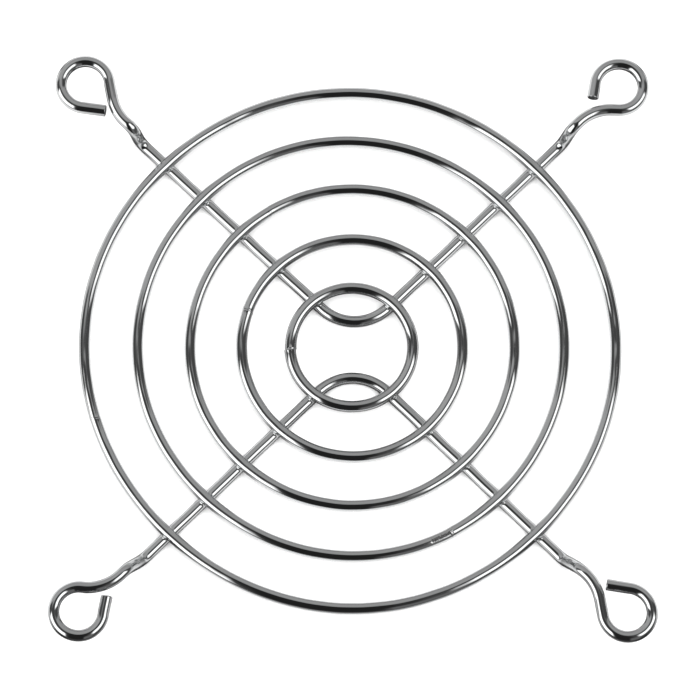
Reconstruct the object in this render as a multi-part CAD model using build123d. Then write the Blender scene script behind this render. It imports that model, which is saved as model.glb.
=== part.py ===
from build123d import *
import os
from dataclasses import dataclass
from math import atan2, cos, degrees, hypot, radians, sin, sqrt, tan

os.makedirs("parts", exist_ok=True)

# Wire fan guard
#
# Five closed rings of round steel wire are spot welded across two bent cross
# wires. Each cross wire runs from one screw eye, through a joggle, along a
# straight leg, round a valley near the middle and out to its other eye.
#
# Frame, in millimetres: the origin is midway between the four screw eyes, on
# the plane that the legs rest on. +Z points to the side that faces the fan,
# +Y to the pair of eyes that the upper cross wire carries.

# Fixing pattern: a square of screw holes, as on a 92 mm fan
hole_pitch = 82.5
eye_hole_d = 5.8

# Wire of the cross wires, with the chamfer on its cut ends, and of the rings
cross_wire_d = 1.75
end_chamfer = 0.18
ring_wire_d = 1.75

# Rings: the inner one's mean diameter, and how far inside the eyes' centres
# the outer one's centre line runs, along the diagonal of the fixing pattern
inner_ring_d = 18.7
eye_to_outer_ring = 17.85

# Bead that the butt weld leaves round a ring
seam_bead_length = 1.2
seam_bead_height = 0.04

# Spot welds: how far a ring sinks into a cross wire, the fillet of metal
# squeezed out round the crossing, how far along the wires that metal is laid,
# how deep it is set into the wire, and the play between ring and saddle
weld_sink = 0.3
weld_fillet_r = 0.35
weld_reach = 2.0
weld_bite = 0.02
saddle_play = 0.005

# Cross wires
valley_bend_r = 7.4
s_bend_r = 7.15

# Joggle: the step that lifts an eye off the plane of the legs
joggle_rise = 4.35
joggle_bend_r = 2.1

# Mark that the round nose of the joggle punch leaves on the ramp's upper side
punch_r = 3.0
punch_mark_depth = 0.1

# Depth of the land that the forming mandrel leaves on the inside of an eye
mandrel_land = 0.05

# Derived sizes
outer_ring_d = hole_pitch * sqrt(2) - 2 * eye_to_outer_ring
eye_bend_r = eye_hole_d / 2 - mandrel_land + cross_wire_d / 2
leg_z = cross_wire_d / 2
eye_z = leg_z + joggle_rise


@dataclass(frozen=True)
class Ring:
    """A closed ring, butt welded from one length of wire."""

    # Where its size lies between the inner ring's, at 0, and the outer ring's, at 1
    spread: float
    # Its centre in plan, which has a little play in the welding jig
    centre: tuple
    # Where its butt weld lies, in degrees round from +X
    seam_deg: float


rings = {
    "ring_1": Ring(spread=0.0, centre=(-0.12, 0.38), seam_deg=182.5),
    "ring_2": Ring(spread=0.247, centre=(-0.02, 0.39), seam_deg=160.5),
    "ring_3": Ring(spread=0.498, centre=(-0.01, 0.53), seam_deg=120.5),
    "ring_4": Ring(spread=0.747, centre=(-0.22, 0.53), seam_deg=297.5),
    "ring_5": Ring(spread=1.0, centre=(-0.28, 0.44), seam_deg=196.5),
}


@dataclass(frozen=True)
class Leg:
    """One half of a cross wire, from its valley out to an eye."""

    # Which corner of the fixing square its eye is in: -1 or 1 along X and Y
    corner: tuple
    # Direction of the straight leg in plan, in degrees round from +X
    heading_deg: float
    # Slope of the joggle's ramp
    ramp_deg: float
    # How far the wire turns aside before it starts to roll the eye
    turn_deg: float
    # How far round the eye is rolled
    roll_deg: float
    # Straight stub left at the cut end
    tail: float


@dataclass(frozen=True)
class CrossWire:
    """The two legs of a cross wire and where their lines meet in plan."""

    vertex: tuple
    left: Leg
    right: Leg


# The two wires are bent alike and laid half a turn apart. The small
# differences between the corners are those of the real, hand-fed bends.
cross_wires = {
    "upper_cross_wire": CrossWire(
        vertex=(0.4, 1.95),
        left=Leg(
            corner=(-1, 1), heading_deg=136.7, ramp_deg=70.0, turn_deg=35.6, roll_deg=251.0, tail=3.8
        ),
        right=Leg(
            corner=(1, 1), heading_deg=44.2, ramp_deg=64.0, turn_deg=45.5, roll_deg=261.5, tail=2.55
        ),
    ),
    "lower_cross_wire": CrossWire(
        vertex=(0.05, -1.2),
        left=Leg(
            corner=(-1, -1), heading_deg=224.5, ramp_deg=52.0, turn_deg=50.5, roll_deg=265.5, tail=3.1
        ),
        right=Leg(
            corner=(1, -1), heading_deg=315.7, ramp_deg=52.0, turn_deg=35.7, roll_deg=251.0, tail=3.8
        ),
    ),
}


class BentWire:
    """The centre line of a wire, laid out as a bender makes it."""

    def __init__(self, start, heading):
        self.at = start
        self.heading = heading
        self.edges = []

    def straight(self, length):
        """Feed the wire straight on."""
        end = self.at + self.heading * length
        self.edges.append(Line(self.at, end))
        self.at = end

    def bend(self, radius, angle, about=Vector(0, 0, 1)):
        """Bend the wire about an axis; a positive angle turns it to the left."""
        side = about.cross(self.heading) * (1 if angle > 0 else -1)
        centre = self.at + side * radius
        spoke = self.at - centre
        turning = Axis((0, 0, 0), about)
        middle = centre + spoke.rotate(turning, angle / 2)
        end = centre + spoke.rotate(turning, angle)
        self.edges.append(ThreePointArc(self.at, middle, end))
        self.at = end
        self.heading = self.heading.rotate(turning, angle)


def plan_direction(angle_deg):
    """Unit vector in the plan, a number of degrees round from +X."""
    return Vector(cos(radians(angle_deg)), sin(radians(angle_deg)), 0)


def cross(a, b):
    """Z part of the cross product of two plan vectors."""
    return a.X * b.Y - a.Y * b.X


def eye_centre(leg):
    """Centre of a leg's eye in plan, at the height of the leg."""
    return Vector(leg.corner[0] * hole_pitch / 2, leg.corner[1] * hole_pitch / 2, leg_z)


def lay_leg(vertex, leg, valley_cut):
    """Edges of one leg from valley to cut end, and the middle of its joggle."""
    away = plan_direction(leg.heading_deg)
    lead = plan_direction(leg.heading_deg - leg.turn_deg)

    # The lead-in touches the eye's circle here, with the eye on its left
    touch = eye_centre(leg) + Vector(lead.Y, -lead.X, 0) * eye_bend_r

    # The leg's line and the lead-in's line meet at a knee, rounded by the S-bend
    to_touch = touch - vertex
    vertex_to_knee = cross(to_touch, lead) / cross(away, lead)
    knee_to_touch = cross(away, to_touch) / cross(away, lead)
    knee_cut = s_bend_r * tan(radians(leg.turn_deg / 2))

    # The joggle ends where the S-bend starts
    slope = radians(leg.ramp_deg)
    ramp_length = (joggle_rise - 2 * joggle_bend_r * (1 - cos(slope))) / sin(slope)
    joggle_plan = 2 * joggle_bend_r * sin(slope) + ramp_length * cos(slope)
    leg_length = vertex_to_knee - knee_cut - joggle_plan - valley_cut

    wire = BentWire(vertex + away * valley_cut, away)
    across = away.cross(Vector(0, 0, 1))
    wire.straight(leg_length)
    wire.bend(joggle_bend_r, leg.ramp_deg, about=across)
    halfway = wire.at + wire.heading * (ramp_length / 2)
    ramp = Plane(origin=halfway, x_dir=wire.heading, z_dir=across.cross(wire.heading))
    wire.straight(ramp_length)
    wire.bend(joggle_bend_r, -leg.ramp_deg, about=across)
    wire.bend(s_bend_r, -leg.turn_deg)
    wire.straight(knee_to_touch - knee_cut)
    wire.bend(eye_bend_r, leg.roll_deg)
    wire.straight(leg.tail)
    return wire.edges, ramp


def lay_cross_wire(spec):
    """Centre line of a cross wire from end to end, and the middles of its joggles."""
    vertex = Vector(spec.vertex[0], spec.vertex[1], leg_z)
    left_away = plan_direction(spec.left.heading_deg)
    right_away = plan_direction(spec.right.heading_deg)

    # The valley is an arc that rounds the vertex between the two legs
    half_angle = left_away.get_angle(right_away) / 2
    valley_cut = valley_bend_r / tan(radians(half_angle))
    valley_drop = valley_bend_r / sin(radians(half_angle)) - valley_bend_r
    inward = (left_away + right_away).normalized()
    valley = ThreePointArc(
        vertex + left_away * valley_cut,
        vertex + inward * valley_drop,
        vertex + right_away * valley_cut,
    )

    left, left_ramp = lay_leg(vertex, spec.left, valley_cut)
    right, right_ramp = lay_leg(vertex, spec.right, valley_cut)
    return Wire(left[::-1] + [valley] + right), (left_ramp, right_ramp)


def mean_radius(ring):
    """Radius of a ring's centre line."""
    return (inner_ring_d + ring.spread * (outer_ring_d - inner_ring_d)) / 2


def ring_place(ring):
    """Where a ring's centre is, with its wire sunk into the cross wires."""
    height = leg_z + (cross_wire_d + ring_wire_d) / 2 - weld_sink
    return Pos(ring.centre[0], ring.centre[1], height)


def ring_loop(ring, play=0.0):
    """The plain loop of a ring, with some play all round its wire."""
    return ring_place(ring) * Torus(mean_radius(ring), ring_wire_d / 2 + play)


def off_ring(path, place, ring):
    """How far outside a ring's centre line a place along a path is, in plan."""
    at = path @ place
    return hypot(at.X - ring.centre[0], at.Y - ring.centre[1]) - mean_radius(ring)


def crossings(path, ring):
    """Places along a path, from 0 to 1, where a ring passes over it."""
    found = []
    marks = [step / 200 for step in range(201)]
    for low, high in zip(marks, marks[1:]):
        if off_ring(path, low, ring) * off_ring(path, high, ring) < 0:
            for _ in range(30):
                middle = (low + high) / 2
                if off_ring(path, low, ring) * off_ring(path, middle, ring) < 0:
                    high = middle
                else:
                    low = middle
            found.append(low)
    return found


def weld_metal(path, place, ring):
    """A short run of wire and a short arc of ring, filleted where they cross."""
    steps = (-weld_reach, 0, weld_reach)
    line = Spline([path @ (place + step / path.length) for step in steps])
    section = Plane(origin=line @ 0, z_dir=line % 0) * Circle(cross_wire_d / 2 - weld_bite)
    run = sweep(section, path=line)

    at = path @ place
    turned = degrees(atan2(at.Y - ring.centre[1], at.X - ring.centre[0]))
    round_deg = degrees(2 * weld_reach / mean_radius(ring))
    arc = Torus(mean_radius(ring), ring_wire_d / 2, major_angle=round_deg, align=None)
    arc = ring_place(ring) * Rot(0, 0, turned - round_deg / 2) * arc

    joined = run + arc
    return fillet(new_edges(run, arc, combined=joined), weld_fillet_r)


def weld_rings(body, path):
    """Lay the weld metal on a wire, then press a saddle into it under each ring."""
    welds = [
        weld_metal(path, place, ring)
        for ring in rings.values()
        for place in crossings(path, ring)
    ]
    return body + welds - [ring_loop(ring, saddle_play) for ring in rings.values()]


def punch_nose(ramp):
    """The nose of the joggle punch, pressed into the upper side of a ramp."""
    nose = Pos(0, 0, punch_r) * Rot(90, 0, 0) * Cylinder(punch_r, cross_wire_d)
    nose &= Box(punch_r, cross_wire_d, cross_wire_d)
    return ramp * Pos(0, 0, cross_wire_d / 2 - punch_mark_depth) * nose


def make_cross_wire(spec):
    """Sweep the wire, trim its ends, weld it to the rings and size its eyes."""
    path, ramps = lay_cross_wire(spec)
    section = Plane(origin=path @ 0, z_dir=path % 0) * Circle(cross_wire_d / 2)
    body = sweep(section, path=path)
    cut_faces = body.faces().filter_by(GeomType.PLANE)
    body = chamfer(cut_faces.edges(), end_chamfer)
    body -= [punch_nose(ramp) for ramp in ramps]
    body = weld_rings(body, path)

    # Each eye keeps a narrow round land where it was rolled on the mandrel
    for leg in (spec.left, spec.right):
        middle = eye_centre(leg)
        body -= Pos(middle.X, middle.Y, eye_z) * Cylinder(eye_hole_d / 2, cross_wire_d)
    return body


def make_ring(ring):
    """A closed ring with a small bead where its ends are butt welded."""
    mean_r = mean_radius(ring)
    bead_r = ring_wire_d / 2 + seam_bead_height
    bead_deg = degrees(seam_bead_length / mean_r)
    bead = Torus(mean_r, bead_r, major_angle=bead_deg, align=None)
    bead = Rot(0, 0, ring.seam_deg - bead_deg / 2) * bead
    return ring_loop(ring) + ring_place(ring) * bead


for name, ring in rings.items():
    export_step(make_ring(ring), f"parts/{name}.step")

for name, spec in cross_wires.items():
    export_step(make_cross_wire(spec), f"parts/{name}.step")
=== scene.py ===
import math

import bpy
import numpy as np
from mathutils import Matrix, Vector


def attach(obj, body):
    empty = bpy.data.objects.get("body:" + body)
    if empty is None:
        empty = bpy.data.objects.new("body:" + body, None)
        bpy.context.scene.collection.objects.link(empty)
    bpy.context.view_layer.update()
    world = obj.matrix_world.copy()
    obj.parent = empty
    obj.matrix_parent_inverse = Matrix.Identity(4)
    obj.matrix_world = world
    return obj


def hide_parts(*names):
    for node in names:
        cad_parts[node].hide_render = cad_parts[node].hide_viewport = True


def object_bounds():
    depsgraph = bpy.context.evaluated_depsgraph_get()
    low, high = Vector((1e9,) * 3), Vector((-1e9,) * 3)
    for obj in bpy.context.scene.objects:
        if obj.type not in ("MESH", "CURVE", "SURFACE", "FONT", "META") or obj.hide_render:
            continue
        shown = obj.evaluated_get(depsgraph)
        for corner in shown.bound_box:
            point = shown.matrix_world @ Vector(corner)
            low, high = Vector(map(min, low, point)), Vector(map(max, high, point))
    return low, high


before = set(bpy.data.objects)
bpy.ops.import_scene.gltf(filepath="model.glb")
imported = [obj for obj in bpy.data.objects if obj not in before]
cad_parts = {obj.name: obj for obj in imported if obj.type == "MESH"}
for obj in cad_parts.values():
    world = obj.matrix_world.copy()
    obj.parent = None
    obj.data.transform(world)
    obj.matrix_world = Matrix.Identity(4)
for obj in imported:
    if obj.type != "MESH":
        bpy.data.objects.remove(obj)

# %% [markdown]
# # A wire fan guard, bright plated
#
# This guard keeps fingers out of a small axial fan. It is seven bent wires:
# five closed rings and two cross wires, spot welded wherever they cross and
# then plated as one. Nothing on it is thicker than a matchstick, so its looks
# come from a mirror finish wrapped round thin, curved wire. The plan is to
# bend every wire again as a fine mesh, to add the marks that drawing, forming
# and welding leave, and then to build the studio that the wires reflect.
#
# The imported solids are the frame. Each fine wire replaces one solid and lies
# where that solid is.

cad_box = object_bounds()
box_low, box_high = (np.array(corner) * 1000 for corner in cad_box)
print("solids in the frame:", ", ".join(sorted(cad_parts)))
print("box of the solids, mm:", np.round(box_high - box_low, 2))

# %% [markdown]
# ## The sizes of the wires
#
# A wire former works from a short list: the gauge of the wire, where each
# ring goes, and the bends of each cross wire. One gauge serves for all seven.
# The same numbers made the solids, so the meshes land on them. Everything
# here is in millimetres and degrees until a mesh is written in metres.

# %% Sizes of the cross wires
# the fixing square, the screw eyes and the gauge
hole_pitch = 82.5
eye_hole_r = 2.9
wire_r = 0.875

# the bends seen from above, then the joggle seen from the side
valley_bend_r = 7.4
s_bend_r = 7.15
joggle_rise = 4.35
joggle_bend_r = 2.1

# the marks of the tools: nose of the punch, land of the mandrel
punch_r = 3.0
punch_depth = 0.1
mandrel_land = 0.05

eye_bend_r = eye_hole_r - mandrel_land + wire_r
eye_z = wire_r + joggle_rise
print("eyes lie", round(eye_z, 2), "mm up, on a square of", hole_pitch, "mm")

# %% Sizes of the rings
inner_ring_r = 9.35
eye_to_outer_ring = 17.85
outer_ring_r = hole_pitch / math.sqrt(2) - eye_to_outer_ring

# the rings lie on the legs and sink a little into them at the welds
weld_sink = 0.3
ring_z = 3 * wire_r - weld_sink

# spread: 0 at the inner ring, 1 at the outer. lobes: how a ring is out of
# round, as a number of lobes, how far they stand out, and where one of them is
rings = {
    "ring_1": dict(spread=0.0, centre=(-0.12, 0.38), lobes=[(2, 0.03, 23)]),
    "ring_2": dict(spread=0.247, centre=(-0.02, 0.39), lobes=[(2, 0.09, 86), (3, 0.05, 41)]),
    "ring_3": dict(spread=0.498, centre=(-0.01, 0.53), lobes=[(2, 0.06, 65), (4, 0.03, 14)]),
    "ring_4": dict(spread=0.747, centre=(-0.22, 0.53), lobes=[(2, 0.08, -46), (3, 0.05, 28), (4, 0.07, 11)]),
    "ring_5": dict(spread=1.0, centre=(-0.28, 0.44), lobes=[(2, 0.1, -30), (3, 0.08, 37), (4, 0.13, 0)]),
}
for name, ring in rings.items():
    ring["mean_r"] = inner_ring_r + ring["spread"] * (outer_ring_r - inner_ring_r)
    print(name, "runs at radius", round(ring["mean_r"], 2), "and height", round(ring_z, 2))


def ring_reach(ring, theta):
    """Radius of a ring's centre line at angles round it, lobes and all."""
    reach = np.full_like(theta, ring["mean_r"])
    for lobes, amount, towards in ring["lobes"]:
        reach += amount * np.cos(lobes * (theta - math.radians(towards)))
    return reach


# %% [markdown]
# ## Bending a centre line
#
# A wire bender only ever does two things: feed straight on, or bend about a
# pin. Replaying those two moves gives stations along the wire, each with a
# direction and an upward side, which is all that a tube needs. A Bezier curve
# could be drawn by eye instead, but it would only come close to the true arcs.

# %% A bender that lays stations
class Bender:
    """Feeds and bends a wire, and keeps a station every few hundredths of a millimetre.

    The columns of a station are its place, its heading, its upward side and
    the length of wire behind it.
    """

    step = 0.05

    def __init__(self, start, heading):
        self.at = np.array(start, float)
        self.heading = np.array(heading, float)
        self.up = np.array([0.0, 0.0, 1.0])
        self.along = 0.0
        self.rows = [self.row()]

    def row(self):
        return np.concatenate([self.at, self.heading, self.up, [self.along]])

    def feed(self, length):
        count = max(1, math.ceil(length / self.step))
        for _ in range(count):
            self.at = self.at + self.heading * length / count
            self.along += length / count
            self.rows.append(self.row())

    def bend(self, radius, angle, about=(0.0, 0.0, 1.0)):
        about = np.array(about)
        arc = radius * abs(math.radians(angle))
        count = math.ceil(arc / self.step)
        turn = np.array(Matrix.Rotation(math.radians(angle / count), 3, Vector(about)))
        side = np.cross(about, self.heading) * (1 if angle > 0 else -1)
        centre = self.at + side * radius
        for _ in range(count):
            self.at = centre + turn @ (self.at - centre)
            self.heading = turn @ self.heading
            self.up = turn @ self.up
            self.along += arc / count
            self.rows.append(self.row())


# %% The bends of each leg
# corner of the fixing square, heading of the straight leg, steepness of the
# joggle's ramp, turn aside before the eye, roll of the eye, straight tail
legs = {
    "upper_left": dict(corner=(-1, 1), heading=136.7, ramp=70, turn=35.6, roll=251.0, tail=3.8),
    "upper_right": dict(corner=(1, 1), heading=44.2, ramp=64, turn=45.5, roll=261.5, tail=2.55),
    "lower_left": dict(corner=(-1, -1), heading=224.5, ramp=52, turn=50.5, roll=265.5, tail=3.1),
    "lower_right": dict(corner=(1, -1), heading=315.7, ramp=52, turn=35.7, roll=251.0, tail=3.8),
}
# where the lines of the two legs of a cross wire meet
vertices = {"upper": (0.4, 1.95), "lower": (0.05, -1.2)}


def plan_direction(angle_deg):
    angle = math.radians(angle_deg)
    return np.array([math.cos(angle), math.sin(angle), 0.0])


def eye_centre(leg):
    return np.array([*leg["corner"], 0.0]) * hole_pitch / 2 + (0, 0, wire_r)


# %% [markdown]
# ## One leg at a time
#
# A leg runs straight from the valley, steps up through the joggle, turns
# aside in an S-bend and rolls round the screw. The eye has to land on its
# corner of the fixing square, so two lengths aren't chosen: the line of the
# leg and the line that leads into the eye are crossed, and the wire is fed
# just so far along each.

# %% How far to feed along a leg
def leg_lengths(vertex, leg):
    """Lengths from the vertex to the knee, and from the knee to where the eye begins."""
    away = plan_direction(leg["heading"])
    lead = plan_direction(leg["heading"] - leg["turn"])
    touch = eye_centre(leg) + np.array([lead[1], -lead[0], 0.0]) * eye_bend_r
    reach = touch - vertex
    crossed = away[0] * lead[1] - away[1] * lead[0]
    to_knee = (reach[0] * lead[1] - reach[1] * lead[0]) / crossed
    to_touch = (away[0] * reach[1] - away[1] * reach[0]) / crossed
    return to_knee, to_touch


def joggle_lengths(leg):
    """Length of a joggle's straight ramp, and of the whole joggle seen from above."""
    ramp = math.radians(leg["ramp"])
    ramp_length = (joggle_rise - 2 * joggle_bend_r * (1 - math.cos(ramp))) / math.sin(ramp)
    return ramp_length, 2 * joggle_bend_r * math.sin(ramp) + ramp_length * math.cos(ramp)


for name, leg in legs.items():
    to_knee, _ = leg_lengths(np.array([*vertices[name.split("_")[0]], wire_r]), leg)
    ramp_length, joggle_plan = joggle_lengths(leg)
    print(name, "knee at", round(to_knee, 1), "mm; its ramp is", round(ramp_length, 2), "mm long")

# %% Bend a leg
def bend_leg(vertex, leg, valley_cut):
    """Stations from the end of the valley to the cut end, and where the ramp's middle is."""
    away = plan_direction(leg["heading"])
    across = np.cross(away, (0, 0, 1))
    vertex_to_knee, knee_to_touch = leg_lengths(vertex, leg)
    ramp_length, joggle_plan = joggle_lengths(leg)
    knee_cut = s_bend_r * math.tan(math.radians(leg["turn"] / 2))

    wire = Bender(vertex + away * valley_cut, away)
    wire.feed(vertex_to_knee - knee_cut - joggle_plan - valley_cut)
    wire.bend(joggle_bend_r, leg["ramp"], across)
    ramp_middle = wire.along + ramp_length / 2
    wire.feed(ramp_length)
    wire.bend(joggle_bend_r, -leg["ramp"], across)
    wire.bend(s_bend_r, -leg["turn"])
    wire.feed(knee_to_touch - knee_cut)
    wire.bend(eye_bend_r, leg["roll"])
    wire.feed(leg["tail"])
    return np.array(wire.rows), ramp_middle


# %% Two legs and a valley make a cross wire
def bend_cross_wire(name):
    """Stations from the left cut end to the right one, and where its two ramps are."""
    vertex = np.array([*vertices[name], wire_r])
    left_leg, right_leg = legs[name + "_left"], legs[name + "_right"]
    left_away = plan_direction(left_leg["heading"])
    right_away = plan_direction(right_leg["heading"])
    half = math.acos(np.dot(left_away, right_away)) / 2
    valley_cut = valley_bend_r / math.tan(half)
    left, left_ramp = bend_leg(vertex, left_leg, valley_cut)
    right, right_ramp = bend_leg(vertex, right_leg, valley_cut)

    valley = Bender(left[0, :3], -left[0, 3:6])
    turns_left = np.cross(-left_away, right_away)[2] > 0
    valley.bend(valley_bend_r, (180 - math.degrees(2 * half)) * (1 if turns_left else -1))
    middle = np.array(valley.rows)

    # the left leg is walked from its eye inwards
    left_length = left[-1, 9]
    left = left[::-1].copy()
    left[:, 3:6] *= -1
    left[:, 9] = left_length - left[:, 9]
    middle[:, 9] += left_length
    right[:, 9] += middle[-1, 9]
    rows = np.concatenate([left, middle[1:], right[1:]])
    return rows, (left_length - left_ramp, middle[-1, 9] + right_ramp)


centre_lines, ramps = {}, {}
for name in vertices:
    centre_lines[name], ramps[name] = bend_cross_wire(name)
    print(name, "cross wire is", round(centre_lines[name][-1, 9], 1), "mm of wire")

# %% [markdown]
# ## Where the wires cross
#
# Every ring is spot welded to all four legs. The welds get the finest mesh,
# so the script first finds the twenty places by watching for the change of
# sign as each cross wire passes from inside a ring to outside it.

# %% Find the welds
def off_ring(points, ring):
    """How far outside a ring's centre line points are in plan, and their angle."""
    x, y = points[..., 0] - ring["centre"][0], points[..., 1] - ring["centre"][1]
    theta = np.arctan2(y, x)
    return np.hypot(x, y) - ring_reach(ring, theta), theta


welds_on_wire = {name: [] for name in vertices}
welds_on_ring = {name: [] for name in rings}
for wire, rows in centre_lines.items():
    for name, ring in rings.items():
        off, theta = off_ring(rows, ring)
        for i in np.flatnonzero(off[:-1] * off[1:] < 0):
            welds_on_wire[wire].append((rows[i, 9], ring))
            welds_on_ring[name].append(theta[i])
print("welds found:", sum(len(found) for found in welds_on_wire.values()))

# %% [markdown]
# ## Skin round a centre line
#
# A tube is a stack of sections, one at each station. Each point of a section
# has its own radius, so a flat, a dent or a weld is just a change in a table
# of radii, whole stations by points round. Stations lie close together near
# marks and far apart on plain wire: the same detail for a tenth of the mesh.

# %% Choose stations
def near(along, places, reach):
    """1 at the places and falling smoothly to 0 at a reach on either side."""
    shape = np.zeros_like(along)
    for place in places:
        t = np.clip(1 - np.abs(along - place) / reach, 0, 1)
        shape = np.maximum(shape, t * t * (3 - 2 * t))
    return shape


def thin_out(along, spacing):
    """Indices of stations about a spacing apart, the spacing varying along the wire."""
    steps = np.diff(along) / spacing[1:]
    count = np.concatenate([[0], np.cumsum(steps)])
    picked = np.flatnonzero(np.diff(np.floor(count)) > 0) + 1
    return np.unique(np.concatenate([[0], picked, [len(along) - 1]]))


# %% Wander of hand-fed wire
# in millimetres of wire
longest_wave, shortest_wave = 18, 4


def wander(along, length, amount, seed, waves=5):
    """A smooth random wave along a wire that closes on itself after its length."""
    rng = np.random.default_rng(seed)
    fewest, most = max(1, round(length / longest_wave)), max(3, round(length / shortest_wave))
    total = np.zeros_like(along)
    for _ in range(waves):
        turns = rng.integers(fewest, most)
        total += np.sin(2 * math.pi * (turns * along / length + rng.random())) / math.sqrt(waves)
    return amount * total


# %% Points and faces of a tube
around_cross, around_ring = 64, 48


def section_angles(around):
    return np.linspace(0, 2 * math.pi, around, endpoint=False)


def spokes(rows, around):
    """Directions from each station to the points round it; 0 is to the right, 90 is up."""
    angles = section_angles(around)
    headings, ups = rows[:, None, 3:6], rows[:, None, 6:9]
    return np.cos(angles)[:, None] * np.cross(headings, ups) + np.sin(angles)[:, None] * ups


def tube_faces(count, around, closed):
    """Quads between neighbouring stations, and an end face at either end of an open tube."""
    here = np.arange(count if closed else count - 1)[:, None] * around
    there = (here + around) % (count * around)
    this, following = np.arange(around), (np.arange(around) + 1) % around
    faces = np.stack([here + this, here + following, there + following, there + this], -1)
    faces = faces.reshape(-1, 4).tolist()
    if not closed:
        faces.append(list(range(around))[::-1])
        faces.append(list(range((count - 1) * around, count * around)))
    return faces


# %% Write a tube
def write_tube(name, rows, radii, marks, slip=None, closed=False):
    """A tube mesh; radii, marks and slip are tables of stations by points round."""
    count, around = radii.shape
    points = rows[:, None, :3] + radii[..., None] * spokes(rows, around)
    if slip is not None:
        points = points + slip[..., None] * rows[:, None, 3:6]
    # no mark may stand out of the box of the solids
    points = np.clip(points.reshape(-1, 3), box_low, box_high)
    mesh = bpy.data.meshes.new(name)
    mesh.from_pydata((points / 1000).tolist(), [], tube_faces(count, around, closed))
    mesh.polygons.foreach_set("use_smooth", [True] * len(mesh.polygons))

    # the drawn surface, in millimetres: two coordinates round the wire, one along it
    angles = section_angles(around)
    drawn = np.empty((count, around, 3))
    drawn[..., 0], drawn[..., 1] = np.cos(angles), np.sin(angles)
    drawn[..., 2] = rows[:, 9:10]
    mesh.attributes.new("drawn", "FLOAT_VECTOR", "POINT").data.foreach_set("vector", drawn.ravel())
    for mark, table in marks.items():
        data = np.broadcast_to(table, radii.shape).astype(np.float32).ravel()
        mesh.attributes.new(mark, "FLOAT", "POINT").data.foreach_set("value", data)
    mesh.update()
    piece = bpy.data.objects.new(name, mesh)
    bpy.context.scene.collection.objects.link(piece)
    print(name, "has", len(mesh.polygons), "faces")
    return piece


# %% [markdown]
# ## Weld metal
#
# A spot weld squeezes the two wires into each other and pushes a small bead
# of metal out all round. A smooth union does just that: where two distances
# are nearly equal, the skin is let out a little. Each point of the cross wire
# near a weld is moved out along its own spoke until it meets that skin. A
# remesh or a boolean could join the wires too, but would lose the clean run
# of faces along the wire that gives an even reflection.

# %% Let the skin out at the welds
weld_reach = 2.1
weld_blend = 0.5
weld_rise_max = 0.5
halvings = 16


def ring_distance(points, ring):
    """How far points are from a ring's skin; negative inside it."""
    off, _ = off_ring(points, ring)
    return np.hypot(off, points[..., 2] - ring_z) - wire_r


def let_out(rows, radii, weld_along, ring, seed):
    """Radii of a cross wire with the weld metal of one crossing on it."""
    at = np.flatnonzero(np.abs(rows[:, 9] - weld_along) < weld_reach)
    around = radii.shape[1]
    centres, outwards, plain = rows[at, None, :3], spokes(rows[at], around), radii[at]

    # no two beads are alike: each has its own lobes
    rng = np.random.default_rng(seed)
    angles = section_angles(around)
    two_lobes = 0.18 * np.sin(angles * 2 + rng.random() * 6)
    five_lobes = 0.12 * np.sin(angles * 5 + rng.random() * 6)
    blend = weld_blend * (1 + two_lobes + five_lobes)

    low, high = plain.copy(), plain + weld_rise_max
    for _ in range(halvings):
        middle = (low + high) / 2
        to_wire = middle - plain
        to_ring = ring_distance(centres + middle[..., None] * outwards, ring)
        overlap = np.maximum(blend - np.abs(to_wire - to_ring), 0)
        inside = np.minimum(to_wire, to_ring) - overlap**2 / (4 * blend) < 0
        low = np.where(inside, middle, low)
        high = np.where(inside, high, middle)
    radii = radii.copy()
    radii[at] = low
    return radii


# %% [markdown]
# ## Marks of forming
#
# The joggle that lifts each eye is struck in a small press. It leaves the
# wire a little wider than round along the ramp, with a shallow dish where the
# round nose of the punch came down. The eye is rolled on a mandrel, which
# leaves a narrow round land inside it. The ends are sheared, so their edges
# are rounded on one side and drawn to a slight lip on the other.

# %% Press the joggles
squeeze, squeeze_reach = 0.06, 5.0
dish_reach = 1.5
# the upper cross wire was struck harder than the lower one: depths, times the plain mark's
strike = {"upper": 2.0, "lower": 1.4}


def press_ramps(rows, radii, places, struck):
    """Widen the wire on its ramps and sink the punch mark into their upper side."""
    angles = section_angles(radii.shape[1])
    along = rows[:, 9]
    width = near(along, places, squeeze_reach)[:, None]
    radii = radii * (1 + squeeze * width * np.cos(2 * angles))
    for place in places:
        dish = wire_r - punch_depth * struck + (along - place) ** 2 / (2 * punch_r)
        height = radii * np.sin(angles)
        cut = (height > dish[:, None]) & (np.abs(along - place) < dish_reach)[:, None]
        radii = np.where(cut, dish[:, None] / np.maximum(np.sin(angles), 0.2), radii)
    return radii, width


# %% Size the eyes on the mandrel
no_limit = 9.0


def size_eyes(rows, radii, wire):
    """Push the inside of each eye out to the mandrel's land."""
    angles = section_angles(radii.shape[1])
    side = np.cross(rows[:, 3:6], rows[:, 6:9])
    for name in (wire + "_left", wire + "_right"):
        middle = eye_centre(legs[name])
        from_middle = np.hypot(*(rows[:, :2] - middle[:2]).T)
        at = np.flatnonzero((from_middle < eye_bend_r + 0.3) & (rows[:, 2] > eye_z - 0.01))
        inward = np.sign(((middle - rows[at, :3]) * side[at]).sum(1))[:, None] * np.cos(angles)
        room = from_middle[at][:, None] - eye_hole_r
        limit = np.where(inward > 0.1, room / np.maximum(inward, 0.1), no_limit)
        radii[at] = np.minimum(radii[at], limit)
    return radii


# %% Shear the ends
edge_r = 0.18
slant, slant_reach = 0.05, 0.8


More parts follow.
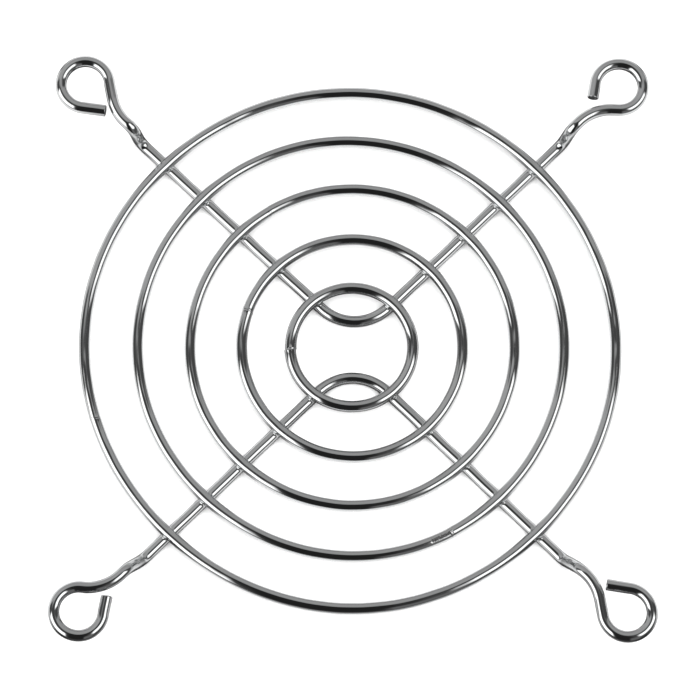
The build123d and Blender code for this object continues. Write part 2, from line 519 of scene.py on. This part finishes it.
def shear_ends(rows, radii, seed):
    """Round the cut edges and slant the cut faces; slip is how far points slide along the wire."""
    rng = np.random.default_rng(seed)
    angles = section_angles(radii.shape[1])
    slip = np.zeros_like(radii)
    total = rows[-1, 9]
    for inwards, distance in ((1, rows[:, 9]), (-1, total - rows[:, 9])):
        side = rng.random() * 2 * math.pi
        lip = edge_r * (0.75 + 0.25 * np.cos(angles - side))
        gone = np.clip(lip - distance[:, None], 0, None)
        radii = radii - (lip - np.sqrt(lip**2 - gone**2))
        fade = np.clip(1 - distance / slant_reach, 0, 1)[:, None]
        slip += inwards * fade * slant * (1 - np.cos(angles - side))
    return radii, slip


# %% Close the ends
# sections that shrink towards the middle of a cut face, which bulges a little
face_steps = np.array([0.82, 0.6, 0.35, 0.1])[:, None]
face_bulge = 0.02


def close_ends(rows, radii, slip, marks):
    """Add the sections of the two cut faces, and mark them as sheared."""
    extra = len(face_steps)
    caps = []
    for end, outwards in ((0, -1), (-1, 1)):
        level = slip[end] * face_steps + slip[end].mean() * (1 - face_steps)
        bulge = face_bulge * (1 - face_steps * face_steps) * outwards
        caps.append((np.repeat(rows[[end]], extra, 0), radii[end] * face_steps, level + bulge))
    first, last = caps
    rows, radii, slip = (
        np.concatenate([start[::-1], table, finish])
        for start, table, finish in zip(first, (rows, radii, slip), last)
    )
    marks = {
        mark: np.concatenate([np.repeat(table[:1], extra, 0), table, np.repeat(table[-1:], extra, 0)])
        for mark, table in marks.items()
    }
    marks["sheared"] = np.zeros_like(radii)
    marks["sheared"][:extra] = marks["sheared"][-extra:] = 1
    return rows, radii, slip, marks


# %% [markdown]
# ## The two cross wires
#
# The marks are now laid on one after another: the slight oval of drawn wire,
# the pressed ramps, the welds, the mandrel's land in the eyes and the sheared
# ends. On the bench the shears come first and the welder last. Here each step
# works on the radii that the last one left, and the cut faces close the tube,
# so they come last.

# %% Stations of a cross wire
plain_step, marked_step, finer_at_ends = 0.24, 0.08, 0.05
sway, oval = 0.012, 0.003


def cross_wire_stations(wire, number):
    """Stations close together where there are marks, swaying a little between the ends."""
    rows = centre_lines[wire]
    along, ends = rows[:, 9], (0, rows[-1, 9])
    busy = np.maximum.reduce([
        near(along, [place for place, _ in welds_on_wire[wire]], 2.6),
        near(along, ramps[wire], squeeze_reach) * 0.8,
        near(along, ends, slant_reach),
    ])
    spacing = np.where(busy > 0.2, marked_step, plain_step) - finer_at_ends * near(along, ends, 0.4)
    rows = rows[thin_out(along, spacing)].copy()
    side = np.cross(rows[:, 3:6], rows[:, 6:9])
    free = 1 - near(rows[:, 9], ends, 3.0)
    rows[:, :3] += side * (wander(rows[:, 9], ends[1], sway, 11 + number) * free)[:, None]
    return rows


# %% Make the cross wires
# the seeds below keep every wire's own wander and welds the same from run to run
pieces = {}
angles = section_angles(around_cross)
for number, wire in enumerate(centre_lines):
    rows = cross_wire_stations(wire, number)
    along, total = rows[:, 9], rows[-1, 9]
    drawn_r = wire_r + wander(along, total, oval, 21 + number)[:, None] * np.cos(2 * angles)
    radii, pressed = press_ramps(rows, drawn_r, ramps[wire], strike[wire])
    for place, ring in welds_on_wire[wire]:
        radii = let_out(rows, radii, place, ring, seed=int(place * 10))
    radii = size_eyes(rows, radii, wire)
    welded = near(along, [place for place, _ in welds_on_wire[wire]], 1.5)[:, None]
    marks = {
        "pressed": np.broadcast_to(pressed, radii.shape),
        "welded": welded * (np.sin(angles) > -0.3),
    }
    radii, slip = shear_ends(rows, radii, seed=5 + number)
    rows, radii, slip, marks = close_ends(rows, radii, slip, marks)
    pieces[wire + "_cross_wire"] = write_tube(wire + "_cross_wire_fine", rows, radii, marks, slip)

# %% [markdown]
# ## Rings and their seams
#
# A ring is one length of wire, closed by a butt weld. The two ends never meet
# quite true: there is a small step sideways, a bead with a fine line in it,
# and sometimes a place where the bead was ground off. No two seams are alike,
# so each has its own short description.

# %% Seams
# angle in degrees; step and lift of one end against the other, bead and line, in mm
seams = {
    "ring_1": dict(at=182.5, step=0.11, lift=0.03, bead=0.025, line=0.045),
    "ring_2": dict(at=160.6, step=-0.05, lift=0.03, bead=0.03, line=0.03),
    "ring_3": dict(at=120.7, step=-0.04, lift=0.01, bead=0.01, line=0.02),
    "ring_4": dict(at=297.8, step=-0.04, lift=0.02, bead=0.03, line=0.04),
    "ring_5": dict(at=196.5, step=-0.035, lift=-0.01, bead=0.012, line=0.012),
}
# where a bead was ground off: from and to in degrees, depth in mm
ground = {"ring_4": (291.5, 297.6, 0.06)}


def arc_from(theta, at_deg, mean_r):
    """Signed distance along a ring from a place on it, in mm."""
    turn = (theta - math.radians(at_deg) + math.pi) % (2 * math.pi) - math.pi
    return turn * mean_r


# %% Stations of a ring
ring_step, weld_step, seam_step, bead_step = 0.22, 0.1, 0.06, 0.035


def ring_stations(name):
    """Angles of a ring's stations, and how far each is from a weld and from the seam."""
    mean_r = rings[name]["mean_r"]
    theta = np.linspace(0, 2 * math.pi, int(2 * math.pi * mean_r / 0.03), endpoint=False)
    from_weld = np.abs([arc_from(theta, math.degrees(t), mean_r) for t in welds_on_ring[name]]).min(0)
    from_seam = arc_from(theta, seams[name]["at"], mean_r)
    spacing = np.where(from_weld < 1.8, weld_step, ring_step)
    spacing = np.where(np.abs(from_seam) < 3.8, seam_step, spacing)
    spacing = np.where(np.abs(from_seam) < 0.5, bead_step, spacing)
    picked = thin_out(theta * mean_r, spacing)[:-1]
    return theta[picked], from_weld[picked], from_seam[picked]


# %% Lay a ring
step_length, step_fade = 0.08, 2.5
ring_sway, ring_wave = 0.01, 0.006


def lay_ring(name, number, theta, from_seam):
    """Stations round a ring, with the step at its seam, swaying and waving a little."""
    ring, seam = rings[name], seams[name]
    total, along = 2 * math.pi * ring["mean_r"], theta * ring["mean_r"]
    offset = 0.5 * np.tanh(from_seam / step_length) * np.exp(-np.abs(from_seam) / step_fade)
    reach = ring_reach(ring, theta) + seam["step"] * offset
    reach = reach + wander(along, total, ring_sway, 31 + number)
    height = ring_z + seam["lift"] * offset + wander(along, total, ring_wave, 41 + number)
    x, y = ring["centre"]
    zero, one = np.zeros_like(theta), np.ones_like(theta)
    place = [x + reach * np.cos(theta), y + reach * np.sin(theta), height]
    heading = [-np.sin(theta), np.cos(theta), zero]
    return np.stack([*place, *heading, zero, zero, one, along], 1)


# %% Skin of a ring
electrode_dent, dent_length = 0.02, 0.9
bead_length, line_length = 0.35, 0.07


def ring_radii(name, number, along, from_weld, from_seam):
    """Slightly oval wire, dented where an electrode pressed and beaded at the seam."""
    angles = section_angles(around_ring)
    seam, total = seams[name], 2 * math.pi * rings[name]["mean_r"]
    top = np.clip(np.sin(angles), 0, None) ** 3
    radii = wire_r + wander(along, total, oval, 51 + number)[:, None] * np.cos(2 * angles)
    radii = radii - electrode_dent * np.exp(-((from_weld / dent_length) ** 2))[:, None] * top
    bead = seam["bead"] * np.exp(-((from_seam / bead_length) ** 2))
    line = seam["line"] * np.exp(-((from_seam / line_length) ** 2))
    return radii + (bead - line)[:, None]


# %% Grind a bead off
ground_facing = math.radians(86)


def grind(radii, theta, mean_r, start, end, depth):
    """Cut a flat along the upper side of a ring, and say where it is."""
    half = math.radians(end - start) / 2 * mean_r
    from_middle = np.abs(arc_from(theta, (start + end) / 2, mean_r))
    inside = np.clip((half - from_middle) / 0.15, 0, 1)[:, None]
    toward = np.cos(section_angles(around_ring) - ground_facing)
    flat = np.where(toward > 0.3, (wire_r - depth * inside) / np.maximum(toward, 0.3), no_limit)
    cut = (flat < radii) & (inside > 0)
    return np.where(cut, flat, radii), cut * inside


# %% Make the rings
angles = section_angles(around_ring)
for number, name in enumerate(rings):
    theta, from_weld, from_seam = ring_stations(name)
    rows = lay_ring(name, number, theta, from_seam)
    radii = ring_radii(name, number, rows[:, 9], from_weld, from_seam)
    marks = {
        "welded": np.exp(-((from_weld / 0.8) ** 2))[:, None] * (np.sin(angles) < 0.2),
        "pressed": np.exp(-((from_seam / 0.6) ** 2))[:, None],
        "sheared": np.zeros_like(radii),
    }
    if name in ground:
        radii, marks["sheared"] = grind(radii, theta, rings[name]["mean_r"], *ground[name])
    pieces[name] = write_tube(name + "_fine", rows, radii, marks, closed=True)

# %% [markdown]
# ## Bright plate
#
# Plating is a thin, even mirror over drawn steel. Drawing leaves faint lines
# along the wire that the mirror keeps, so a noise stretched along the wire
# tilts the surface by a hair. It is dull only where the surface below was
# torn or burnt: at welds, on the sheared ends and where a press closed on it.

# %% Tools for a shader
def add_node(kind, **settings):
    """A node in the tree that is being built, with its settings."""
    node = nodes.new(kind)
    for name, value in settings.items():
        setattr(node, name, value)
    return node


def number_from(value, socket):
    """Link a socket, or set a plain number, on an input."""
    if isinstance(value, (int, float)):
        socket.default_value = value
    else:
        links.new(value, socket)


def calculate(operation, *values):
    """The result of a sum on sockets and plain numbers."""
    node = add_node("ShaderNodeMath", operation=operation)
    for value, socket in zip(values, node.inputs):
        number_from(value, socket)
    return node.outputs[0]


def surface_mark(name, output="Fac"):
    """A table that was written on the mesh with its points."""
    node = add_node("ShaderNodeAttribute", attribute_name=name)
    return node.outputs[output]


def noise(vector, scale, detail=2.0, stretch=(1, 1, 1)):
    """Cloudy noise, drawn out along an axis where its stretch is small."""
    squash = add_node("ShaderNodeMapping")
    squash.inputs["Scale"].default_value = stretch
    links.new(vector, squash.inputs["Vector"])
    node = add_node("ShaderNodeTexNoise")
    links.new(squash.outputs[0], node.inputs["Vector"])
    node.inputs["Scale"].default_value = scale
    node.inputs["Detail"].default_value = detail
    return node.outputs["Fac"]


# %% Patterns on the plate
plate = bpy.data.materials.new("bright_plate")
plate.use_nodes = True
nodes, links = plate.node_tree.nodes, plate.node_tree.links
shader = nodes["Principled BSDF"]
shader.inputs["Metallic"].default_value = 1.0

solid = add_node("ShaderNodeTexCoord").outputs["Object"]
die_lines = noise(surface_mark("drawn", "Vector"), 5.0, 3.0, (1, 1, 0.02))
mottle = noise(solid, 2600.0, 2.0)
cloud = noise(solid, 90.0, 3.0)
pressed, welded, sheared = (surface_mark(name) for name in ("pressed", "welded", "sheared"))

# %% How dull
bright, clouded, burnt = 0.035, 0.05, 0.32
torn = calculate("MULTIPLY", calculate("MAXIMUM", welded, sheared), mottle)
dull = calculate("ADD", calculate("MULTIPLY", torn, burnt), calculate("MULTIPLY", cloud, clouded))
links.new(calculate("ADD", dull, bright), shader.inputs["Roughness"])

# %% What colour
# a cool mirror, with clouds of a slightly warmer one
tone = add_node("ShaderNodeMix", data_type="RGBA")
links.new(calculate("MULTIPLY", cloud, cloud), tone.inputs["Factor"])
tone.inputs["A"].default_value = (0.625, 0.635, 0.643, 1)
tone.inputs["B"].default_value = (0.655, 0.658, 0.65, 1)
links.new(tone.outputs["Result"], shader.inputs["Base Color"])

# %% How uneven
# depths in metres: the drawn lines, then the grain of pressed and sheared places
line_depth, grain_depth = 0.000004, 0.00002
lines_bump = add_node("ShaderNodeBump")
lines_bump.inputs["Strength"].default_value = 0.5
lines_bump.inputs["Distance"].default_value = line_depth
links.new(die_lines, lines_bump.inputs["Height"])
rough_bump = add_node("ShaderNodeBump")
rough_bump.inputs["Distance"].default_value = grain_depth
roughened = calculate("MAXIMUM", calculate("MULTIPLY", pressed, 0.5), sheared)
links.new(roughened, rough_bump.inputs["Strength"])
links.new(mottle, rough_bump.inputs["Height"])
links.new(lines_bump.outputs[0], rough_bump.inputs["Normal"])
links.new(rough_bump.outputs[0], shader.inputs["Normal"])

# %% Plate the wires
for node, piece in pieces.items():
    piece.data.materials.append(plate)
    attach(piece, "root")
    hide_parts(node)
print("plated:", len(pieces), "wires, with", len(nodes), "nodes")

# %% [markdown]
# ## A white table, as a mirror sees it
#
# The guard lies on a white table. To the eye the table is plain paper, but a
# mirror lying on it shows more: the shade that the wires throw on it and the
# dark of the room past its front edge. One material paints both. Rays from the
# eye meet white paper, and rays that come off the plate meet a glow, an
# emission with painted light and shade: brightest under the large rings, and
# dimmed under the small rings, beside the wires, under the legs and past the
# edge. Painting the shade on the wires would be simpler, but it would stay put
# when the guard is turned.

# %% White paper
floor_mesh = bpy.data.meshes.new("floor")
floor_mesh.from_pydata([(-4, -4, 0), (4, -4, 0), (4, 4, 0), (-4, 4, 0)], [], [(0, 1, 2, 3)])
floor = bpy.data.objects.new("floor", floor_mesh)
bpy.context.scene.collection.objects.link(floor)
paper_with_painted_glow = bpy.data.materials.new("white_paper_with_painted_glow")
paper_with_painted_glow.use_nodes = True
nodes, links = paper_with_painted_glow.node_tree.nodes, paper_with_painted_glow.node_tree.links
nodes["Principled BSDF"].inputs["Base Color"].default_value = (0.9, 0.9, 0.9, 1)
nodes["Principled BSDF"].inputs["Roughness"].default_value = 1.0


# %% Where on the table
def soft_step(value, start, end):
    """0 before the start, 1 after the end and smooth between."""
    node = add_node("ShaderNodeMapRange", interpolation_type="SMOOTHSTEP")
    node.inputs["From Min"].default_value = start
    node.inputs["From Max"].default_value = end
    links.new(value, node.inputs["Value"])
    return node.outputs["Result"]


def scaled_step(value, start, end, first, last):
    """A soft step from a first level to a last one."""
    return calculate("ADD", first, calculate("MULTIPLY", soft_step(value, start, end), last - first))


place = add_node("ShaderNodeTexCoord").outputs["Object"]
split = add_node("ShaderNodeSeparateXYZ")
links.new(place, split.inputs[0])
table_x, table_y = split.outputs[0], split.outputs[1]
length = add_node("ShaderNodeVectorMath", operation="LENGTH")
links.new(place, length.inputs[0])
far_out = length.outputs["Value"]

# %% Painted light and shade of the table in the mirror
# in metres: painted shade under the small rings, painted light brightest under the large ones, less so
# outside them
level = scaled_step(far_out, 0.012, 0.02, 0.5, 1.7)
level = calculate("ADD", level, scaled_step(far_out, 0.042, 0.046, 0.0, -0.9))
level = calculate("ADD", level, scaled_step(far_out, 0.049, 0.054, 0.0, 0.35))
# painted dark past the front edge, and a painted dim band just inside it, the lip
front = calculate("MAXIMUM", soft_step(table_y, -0.056, -0.047), 0.12)
lip = scaled_step(table_y, -0.046, -0.036, 0.5, 1.0)
level = calculate("MULTIPLY", level, calculate("MULTIPLY", front, lip))

# %% Painted shade under the legs
# the four legs lie along two folded lines, and past the rings they rise to the eyes
fold_y, fold_x = 0.0004, 0.0016
fold = calculate("SUBTRACT", calculate("ABSOLUTE", calculate("SUBTRACT", table_y, fold_y)), fold_x)
off_leg = calculate("ABSOLUTE", calculate("SUBTRACT", calculate("ABSOLUTE", table_x), fold))
painted_leg_shade = scaled_step(off_leg, 0.002, 0.0065, 0.35, 1.0)
# more painted shade beside the legs where they rise to the eyes past the rings
raised = calculate("MULTIPLY", soft_step(far_out, 0.0435, 0.046), soft_step(off_leg, 0.01, 0.006))
painted_raised_shade = calculate("SUBTRACT", 1.0, calculate("MULTIPLY", raised, 0.5))
painted_leg_shade = calculate("MULTIPLY", painted_leg_shade, painted_raised_shade)

# %% Painted shade beside every wire
# ambient occlusion measures how close the wires are, and dims the glow as painted shade, more so past the
# rings
shade = add_node("ShaderNodeAmbientOcclusion", samples=12)
shade.inputs["Distance"].default_value = 0.008
depth = scaled_step(far_out, 0.0435, 0.046, 1.5, 5.0)
painted_shade_near_wire = calculate("POWER", shade.outputs["AO"], depth)

# %% Mirror rays see the glow, an emission carrying the painted light and shade
# the glow is painted light: an emission standing in for the lit table, with the painted shade in its
# strength
glow = add_node("ShaderNodeEmission")
glow.inputs["Color"].default_value = (1, 1, 1, 1)
links.new(calculate("MULTIPLY", level, calculate("MULTIPLY", painted_shade_near_wire, painted_leg_shade)), glow.inputs["Strength"])
seen = add_node("ShaderNodeMixShader")
links.new(add_node("ShaderNodeLightPath").outputs["Is Glossy Ray"], seen.inputs["Fac"])
links.new(nodes["Principled BSDF"].outputs[0], seen.inputs[1])
links.new(glow.outputs[0], seen.inputs[2])
links.new(seen.outputs[0], nodes["Material Output"].inputs["Surface"])
floor_mesh.materials.append(paper_with_painted_glow)
print("the table's material has", len(nodes), "nodes")

# %% [markdown]
# ## One soft light overhead
#
# A wide lamp straight above lights the paper evenly and throws no hard
# shadow, as a light tent does. It is kept out of the mirror, because what the
# wires show is arranged on its own in the next step. A small, hard lamp would
# draw a second set of rings on the paper.

# %% Floor light
light = bpy.data.lights.new("floor_light", "AREA")
light.shape = "SQUARE"
light.size = 2.5
light.energy = 63
lamp = bpy.data.objects.new("floor_light", light)
lamp.location = (0, 0, 1.6)
lamp.visible_glossy = False
bpy.context.scene.collection.objects.link(lamp)
print("the lamp hangs", round(lamp.location.z, 2), "m up")

# %% [markdown]
# ## Cards round a mirror
#
# Bright metal is lit by lighting what it reflects. Every light or dark band
# on the wire is a card standing in the room, so the room is written as a list
# of cards on a sphere round the guard. Two bright boxes at the front corners
# give the white streaks, a grey card behind gives the broad sheen, and narrow
# black gaps between them give the thin dark lines that make plate look hard.

# %% The list of cards
camera_tilt_deg = 13.68
ground_level = 0.10
# compass direction, half width, soft edge; from and to, down from the pole, soft edge; level
cards = {
    "grey card behind": (93, 82, 20, -20, 130, 16, 0.37),
    "sheen behind": (93, 82, 20, 5, 52, 30, 0.43),
    "left sheen": (148, 22, 30, 12, 130, 20, 0.49),
    "right shade": (25, 16, 16, 64, 150, 24, 0.26),
    "dark front": (240, 62, 24, -20, 38, 18, 0.07),
    "left box": (211, 28, 8, 39, 89, 7, 2.0),
    "right box": (329, 30, 10, 25, 65, 7, 1.9),
    "black wedge": (265, 22, 14, 5, 150, 12, 0.02),
    "front gap": (291, 11, 6, 58, 150, 10, 0.17),
    "left gap": (172, 11, 8, 34, 150, 10, 0.08),
    "right gap": (8, 14, 10, 20, 150, 14, 0.08),
}
print("the wires reflect", len(cards), "cards")

# %% Compass of the studio
# the pole of the studio leans with the camera, so that it lies at the middle of the mirror
world = bpy.data.worlds.new("studio")
bpy.context.scene.world = world
world.use_nodes = True
nodes, links = world.node_tree.nodes, world.node_tree.links
lean = add_node("ShaderNodeVectorRotate", rotation_type="X_AXIS")
lean.inputs["Angle"].default_value = math.radians(camera_tilt_deg)
links.new(add_node("ShaderNodeTexCoord").outputs["Generated"], lean.inputs["Vector"])
split = add_node("ShaderNodeSeparateXYZ")
links.new(lean.outputs[0], split.inputs[0])
azimuth = calculate("MULTIPLY", calculate("ARCTAN2", split.outputs[1], split.outputs[0]), 180 / math.pi)
polar = calculate("MULTIPLY", calculate("ARCCOSINE", split.outputs[2]), 180 / math.pi)

# %% Stand the cards up
# each card covers what stands behind it, so later ones win
level = ground_level
for az, half, soft, low, high, soft_p, value in cards.values():
    off = calculate("WRAP", calculate("SUBTRACT", azimuth, float(az)), 180.0, -180.0)
    inside = soft_step(calculate("ABSOLUTE", off), half + soft / 2, half - soft / 2)
    above = soft_step(polar, low - soft_p / 2, low + soft_p / 2)
    below = soft_step(polar, high + soft_p / 2, high - soft_p / 2)
    mask = calculate("MULTIPLY", calculate("MULTIPLY", inside, above), below)
    mix = add_node("ShaderNodeMix")
    links.new(mask, mix.inputs["Factor"])
    number_from(level, mix.inputs["A"])
    mix.inputs["B"].default_value = value
    level = mix.outputs["Result"]
print("brightest card:", max(card[-1] for card in cards.values()))

# %% A white wall for the eye
# a low view looks past the table; it finds white there, and the plate still finds the cards
wall = add_node("ShaderNodeMix")
links.new(add_node("ShaderNodeLightPath").outputs["Is Camera Ray"], wall.inputs["Factor"])
links.new(level, wall.inputs["A"])
wall.inputs["B"].default_value = 1.0
links.new(wall.outputs["Result"], nodes["Background"].inputs["Color"])
print("the studio has", len(nodes), "nodes")

# %% [markdown]
# ## The camera
#
# The view is almost straight down, leaning a little towards the front, from
# far off through a long lens. A long lens keeps the rings round right to the
# edge, where a short one would show the sides of the near wires.

# %% Place the camera
tilt, turn, roll = math.radians(camera_tilt_deg), math.radians(-4.83), math.radians(-0.09)
distance = 0.695
back = Vector((math.sin(turn) * math.sin(tilt), -math.cos(turn) * math.sin(tilt), math.cos(tilt)))
level_right = Vector((0, 1, 0)).cross(back).normalized()
level_up = back.cross(level_right)
right = level_right * math.cos(roll) + level_up * math.sin(roll)
up = level_up * math.cos(roll) - level_right * math.sin(roll)
facing = Matrix((right, up, back)).transposed().to_quaternion()
print("the camera stands", distance, "m off,", camera_tilt_deg, "degrees from straight above")

# %% Its lens
camera_data = bpy.data.cameras.new("camera")
camera_data.lens = 232.84
camera_data.sensor_width = 36
camera_data.shift_x = -0.0032
camera_data.shift_y = 0.0047
camera_data.clip_start = 0.05
camera_data.clip_end = 50
camera = bpy.data.objects.new("camera", camera_data)
camera.matrix_world = Matrix.LocRotScale(back * distance, facing, None)
bpy.context.scene.collection.objects.link(camera)
bpy.context.scene.camera = camera
bpy.context.scene.view_settings.view_transform = "Standard"
